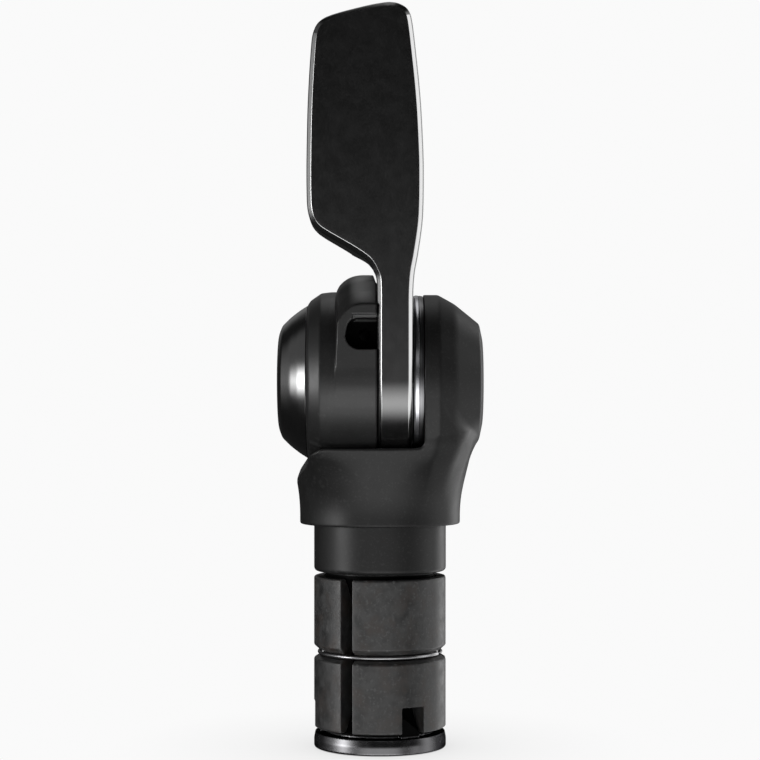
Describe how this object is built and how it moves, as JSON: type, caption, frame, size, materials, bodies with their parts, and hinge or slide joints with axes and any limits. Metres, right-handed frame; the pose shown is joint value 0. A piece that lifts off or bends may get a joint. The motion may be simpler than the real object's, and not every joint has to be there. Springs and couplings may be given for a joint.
{
  "type": "thumb shifter",
  "caption": "Bar-end lever shifter: flat paddle lever on a pivot drum, a body with one side ear, and a split expanding plug that grips inside a handlebar end.",
  "frame": {"origin": "centre of the annular seat that rests on the end of the bar, on the bar axis", "axes": "+Z along the bar axis towards the lever's tip, -Z into the bar; +X along the lever's pivot towards the ear; -Y towards the front, which the blade faces"},
  "size_m": [0.0291, 0.0269, 0.1033],
  "materials": {
    "body": "satin black anodised forging",
    "lever": "satin black anodised, with polished edge bevels",
    "drum": "satin black anodised",
    "end_cap": "gloss black",
    "collet": "mottled black bead-blasted anodised",
    "wedge": "bright black anodised, fine turned",
    "polished_ring": "polished, dark",
    "bolt_steel": "black oxide",
    "bright_steel": "fine ground",
    "spring_steel": "drawn wire",
    "bronze": "sintered, oil-filled",
    "friction": "matte resin",
    "nylon": "natural moulded nylon",
    "rubber": "soft matte"
  },
  "bodies": {
    "housing": {"body": "body", "pivot_axle": "bright_steel", "axle_screw": "bolt_steel", "bearing_ring": "polished_ring", "thrust_washer": "polished_ring", "stop_pin": "bright_steel", "keyed_friction_washer": "bright_steel", "spring_washers": "spring_steel", "axle_lock_nut": "bolt_steel", "cable_guide": "nylon", "bolt_washer": "bright_steel"},
    "lever_group": {"lever": "lever", "drum": "drum", "end_cap": "end_cap", "cap_seal": "rubber", "lever_bush": "bronze", "drum_bush": "bronze", "friction_pad": "friction", "lever_screws": "bolt_steel", "drive_pins": "bright_steel", "assist_spring": "spring_steel"},
    "bolt_group": {"expander_bolt": "bolt_steel", "bolt_clip": "spring_steel"},
    "wedge_group": {"expander_wedge": "wedge"},
    "segment_front": {"collet_segment_front": "collet"},
    "segment_rear": {"collet_segment_rear": "collet"},
    "segment_left": {"collet_segment_left": "collet"},
    "wire_ring": {"retaining_ring": "spring_steel"}
  },
  "joints": [
    {"name": "lever_swing", "type": "hinge", "parent": "housing", "child": "lever_group", "pos_m": [0, -0.0025, 0.02025], "axis": [1, 0, 0], "range_deg": [-50, 45], "deforming": ["assist_spring"]},
    {"name": "wedge_slide", "type": "slide", "parent": "housing", "child": "wedge_group", "axis": [0, 0, 1], "range_m": [0, 0.00121]},
    {"name": "expander_turn", "type": "hinge", "parent": "housing", "child": "bolt_group", "pos_m": [0, 0, 0], "axis": [0, 0, -1], "range_deg": [0, 436.5]},
    {"name": "front_segment_slide", "type": "slide", "parent": "housing", "child": "segment_front", "axis": [0.25, -0.433, 0.866], "range_m": [0, 0.0007]},
    {"name": "rear_segment_slide", "type": "slide", "parent": "housing", "child": "segment_rear", "axis": [0.25, 0.433, 0.866], "range_m": [0, 0.0007]},
    {"name": "left_segment_slide", "type": "slide", "parent": "housing", "child": "segment_left", "axis": [-0.5, 0, 0.866], "range_m": [0, 0.0007]},
    {"name": "wire_ring_slide", "type": "slide", "parent": "housing", "child": "wire_ring", "axis": [0, 0, 1], "range_m": [0, 0.000607]}
  ],
  "couplings": [
    {"joint": "expander_turn", "follows": "wedge_slide", "rad_per_m": 6283.2},
    {"joint": "front_segment_slide", "follows": "wedge_slide", "ratio": 0.57735},
    {"joint": "rear_segment_slide", "follows": "wedge_slide", "ratio": 0.57735},
    {"joint": "left_segment_slide", "follows": "wedge_slide", "ratio": 0.57735},
    {"joint": "wire_ring_slide", "follows": "wedge_slide", "ratio": 0.5}
  ]
}
